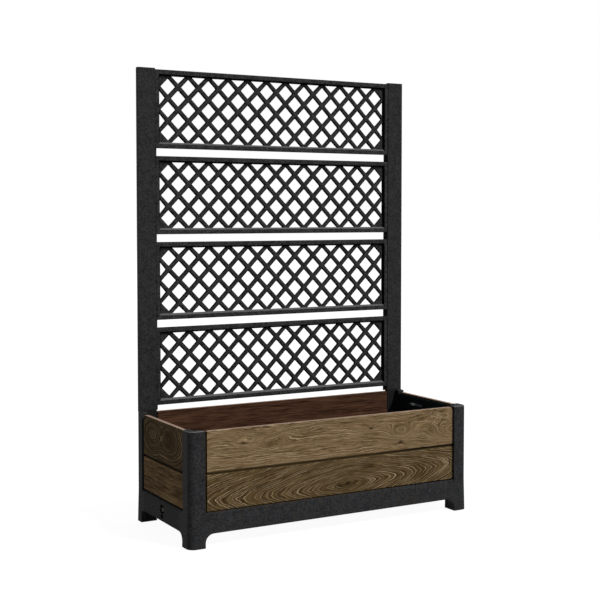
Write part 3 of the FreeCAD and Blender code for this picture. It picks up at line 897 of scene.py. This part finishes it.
def frame_ring(bm, low, high, inner_low, inner_high, foot_y):
    """The panel's frame: a section with a sloped inner side, carried round a rectangle."""
    y0, y1 = low.y, high.y
    out, into = RAIL_SOFT_OUT, RAIL_SOFT_IN
    section = [(0, y0 + out, 0), (0, y1 - out, 0), (BEND * out, y1 - BEND * out, 0), (out, y1, 0),
               (into - SLOPE_FOOT, y1, 1), (-SLOPE_FOOT, y1 - into, 1), (-SLOPE_FOOT, foot_y, 1),
               (SLOPE_HEAD, y0 + into / 2, 1), (SLOPE_HEAD + into, y0, 1),
               (out, y0, 0), (BEND * out, y0 + BEND * out, 0)]
    loops = []
    for inset, y, inner in section:
        if inner:
            x0, x1 = inner_low[0] - inset, inner_high[0] + inset
            z0, z1 = inner_low[1] - inset, inner_high[1] + inset
        else:
            x0, x1 = low.x + inset, high.x - inset
            z0, z1 = low.z + inset, high.z - inset
        loops.append([bm.verts.new((x, y, z)) for x, z in ((x0, z0), (x1, z0), (x1, z1), (x0, z1))])
    for n, loop in enumerate(loops):
        after = loops[(n + 1) % len(loops)]
        for i in range(4):
            j = (i + 1) % 4
            bm.faces.new((loop[i], loop[j], after[j], after[i]))


def panel_tabs(bm, low, high):
    """The tabs at a panel's ends, which sit in the posts."""
    length = TAB_LENGTH + RAIL_SOFT_OUT
    for level in TAB_LEVELS:
        for end, way in ((low.x, 1), (high.x, -1)):
            middle = Vector((end + way * (length / 2 - TAB_LENGTH), (low.y + high.y) / 2,
                             low.z + level * (high.z - low.z)))
            cube = bmesh.ops.create_cube(bm, size=1.0)["verts"]
            bmesh.ops.scale(bm, vec=(length, TAB_DEPTH, TAB_HEIGHT), verts=cube)
            bmesh.ops.translate(bm, vec=middle, verts=cube)


def lattice(node, material):
    """A lattice panel with rounded holes and rails, which stands for the plain solid."""
    low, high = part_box(node)
    low.x += TAB_LENGTH
    high.x -= TAB_LENGTH
    inner_low = (low.x + PANEL_STILE, low.z + PANEL_RAIL)
    inner_high = (high.x - PANEL_STILE, high.z - PANEL_RAIL)
    sheet_back = high.y + LATTICE_SETBACK
    sheet_front = sheet_back - LATTICE_DEPTH
    bm = bmesh.new()
    lattice_sheet(bm, inner_low, inner_high, (sheet_front, sheet_back))
    frame_ring(bm, low, high, inner_low, inner_high, sheet_front)
    panel_tabs(bm, low, high)
    bmesh.ops.recalc_face_normals(bm, faces=bm.faces)
    mesh = to_mesh(bm, node + "_screen", SCREEN_SHARP_ANGLE)
    piece = new_piece(node + "_screen", mesh, material)
    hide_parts(node)


def dress_planter():
    """Makes every piece of the planter."""
    charcoal = hammered("charcoal_hammered", PLASTIC, rim_highlight_and_hollow_shade)
    drained = hammered("charcoal_drained", DRAINED, drain_shade_and_highlight)
    # The trellis posts get painted shade where they stand inside the box
    upright = hammered("trellis_hammered", UPRIGHT, painted_hollow_shade)
    screen = hammered("screen_plastic", SCREEN, strip_shade_and_ledge_highlight)
    black = plain("inner_black", *INNER_BLACK)
    for node in CHARCOAL:
        dress(node, charcoal, MOULDING_SOFT)
    dress("skirt_left", drained, MOULDING_SOFT)
    for node in TRELLIS:
        dress(node, upright, UPRIGHT_SOFT)
    for node in LATTICES:
        lattice(node, screen)
    for node in INNER:
        dress(node, black, BOARD_SOFT)
    for key, look in LOOKS.items():
        dress("board_" + key, wood(key, look), BOARD_SOFT)
    dress("end_panel_catches", glinting_catch("catch_metal"), CATCH_SOFT)
    dress("trellis_screws", plain("bright_steel", *BRIGHT_STEEL), SCREW_SOFT)
    dress("drain_plug", plain("knob_tan", *KNOB_TAN), DRAIN_SOFT, "plug")
    dress("plug_seal", plain("seal_rubber", *SEAL_BLACK), SEAL_SOFT, "plug")
    dress("drain_spout", plain("spout_grey", *SPOUT_SHADED_GREY), DRAIN_SOFT)


def seen_directly(g):
    """1 for rays from the camera and for mirror-like and see-through ones."""
    path = g.add("ShaderNodeLightPath")
    seen = path.outputs["Is Camera Ray"]
    for name in ("Is Glossy Ray", "Is Transmission Ray"):
        seen = g.math("MAXIMUM", seen, path.outputs[name])
    return seen


def white_floor():
    """A pale floor that shows white to the camera and keeps the planter's shadow."""
    bpy.ops.mesh.primitive_plane_add(size=FLOOR_SIZE, location=(0, 0, -FLOOR_DROP))
    floor = bpy.context.object
    floor.name = "studio_floor"
    material = bpy.data.materials.new("studio_white")
    material.use_nodes = True
    g = Graph(material.node_tree)
    g.tree.nodes.clear()
    glow = g.add("ShaderNodeEmission")
    glow.inputs["Strength"].default_value = FLOOR_GLOW
    white = g.fill(g.add("ShaderNodeAddShader"), glow.outputs[0], g.matt(FLOOR_FAINT))
    shown = g.pick(seen_directly(g), g.matt(FLOOR_GREY), white)
    g.put(g.add("ShaderNodeOutputMaterial").inputs["Surface"], shown)
    floor.data.materials.append(material)


def room_light(g):
    """The strength of the room's light: even, with a soft lobe from the back and right."""
    way = g.add("ShaderNodeVectorMath", operation="DOT_PRODUCT")
    g.put(way.inputs[0], g.add("ShaderNodeTexCoord").outputs["Generated"])
    way.inputs[1].default_value = BACK_LIGHT_FROM
    lobe = g.ramp(way.outputs["Value"], BACK_LIGHT_START, 1.0)
    return g.plus(g.times(lobe, BACK_LIGHT - ROOM_LIGHT), ROOM_LIGHT)


def white_room():
    """A room that lights the planter dimly, more from the back and right, and shows white to the camera."""
    world = bpy.data.worlds.new("studio")
    bpy.context.scene.world = world
    world.use_nodes = True
    g = Graph(world.node_tree)
    dim = g.tree.nodes["Background"]
    dim.inputs["Color"].default_value = WHITE
    g.put(dim.inputs["Strength"], room_light(g))
    white = g.add("ShaderNodeBackground")
    white.inputs["Color"].default_value = WHITE
    white.inputs["Strength"].default_value = 1.0
    shown = g.pick(seen_directly(g), dim.outputs[0], white.outputs[0])
    g.put(g.tree.nodes["World Output"].inputs["Surface"], shown)


def key_light():
    """A broad light from the front, right and above."""
    key = bpy.data.lights.new("key", "SUN")
    key.energy = KEY_LIGHT
    key.angle = math.radians(KEY_LIGHT_ANGLE)
    lamp = bpy.data.objects.new("key", key)
    lamp.rotation_euler = Vector(KEY_LIGHT_WAY).to_track_quat("-Z", "Y").to_euler()
    bpy.context.scene.collection.objects.link(lamp)


def photo_camera():
    """The photograph's camera."""
    lens = bpy.data.cameras.new("photo_camera")
    lens.lens = CAMERA_LENS
    lens.sensor_width = CAMERA_SENSOR
    lens.shift_y = CAMERA_SHIFT_Y
    camera = bpy.data.objects.new("photo_camera", lens)
    camera.location = CAMERA_PLACE
    camera.rotation_euler = (math.radians(90 - CAMERA_PITCH), 0, math.radians(-CAMERA_YAW))
    bpy.context.scene.collection.objects.link(camera)
    bpy.context.scene.camera = camera


dress_planter()
white_floor()
white_room()
key_light()
photo_camera()
bpy.context.scene.view_settings.view_transform = "Standard"
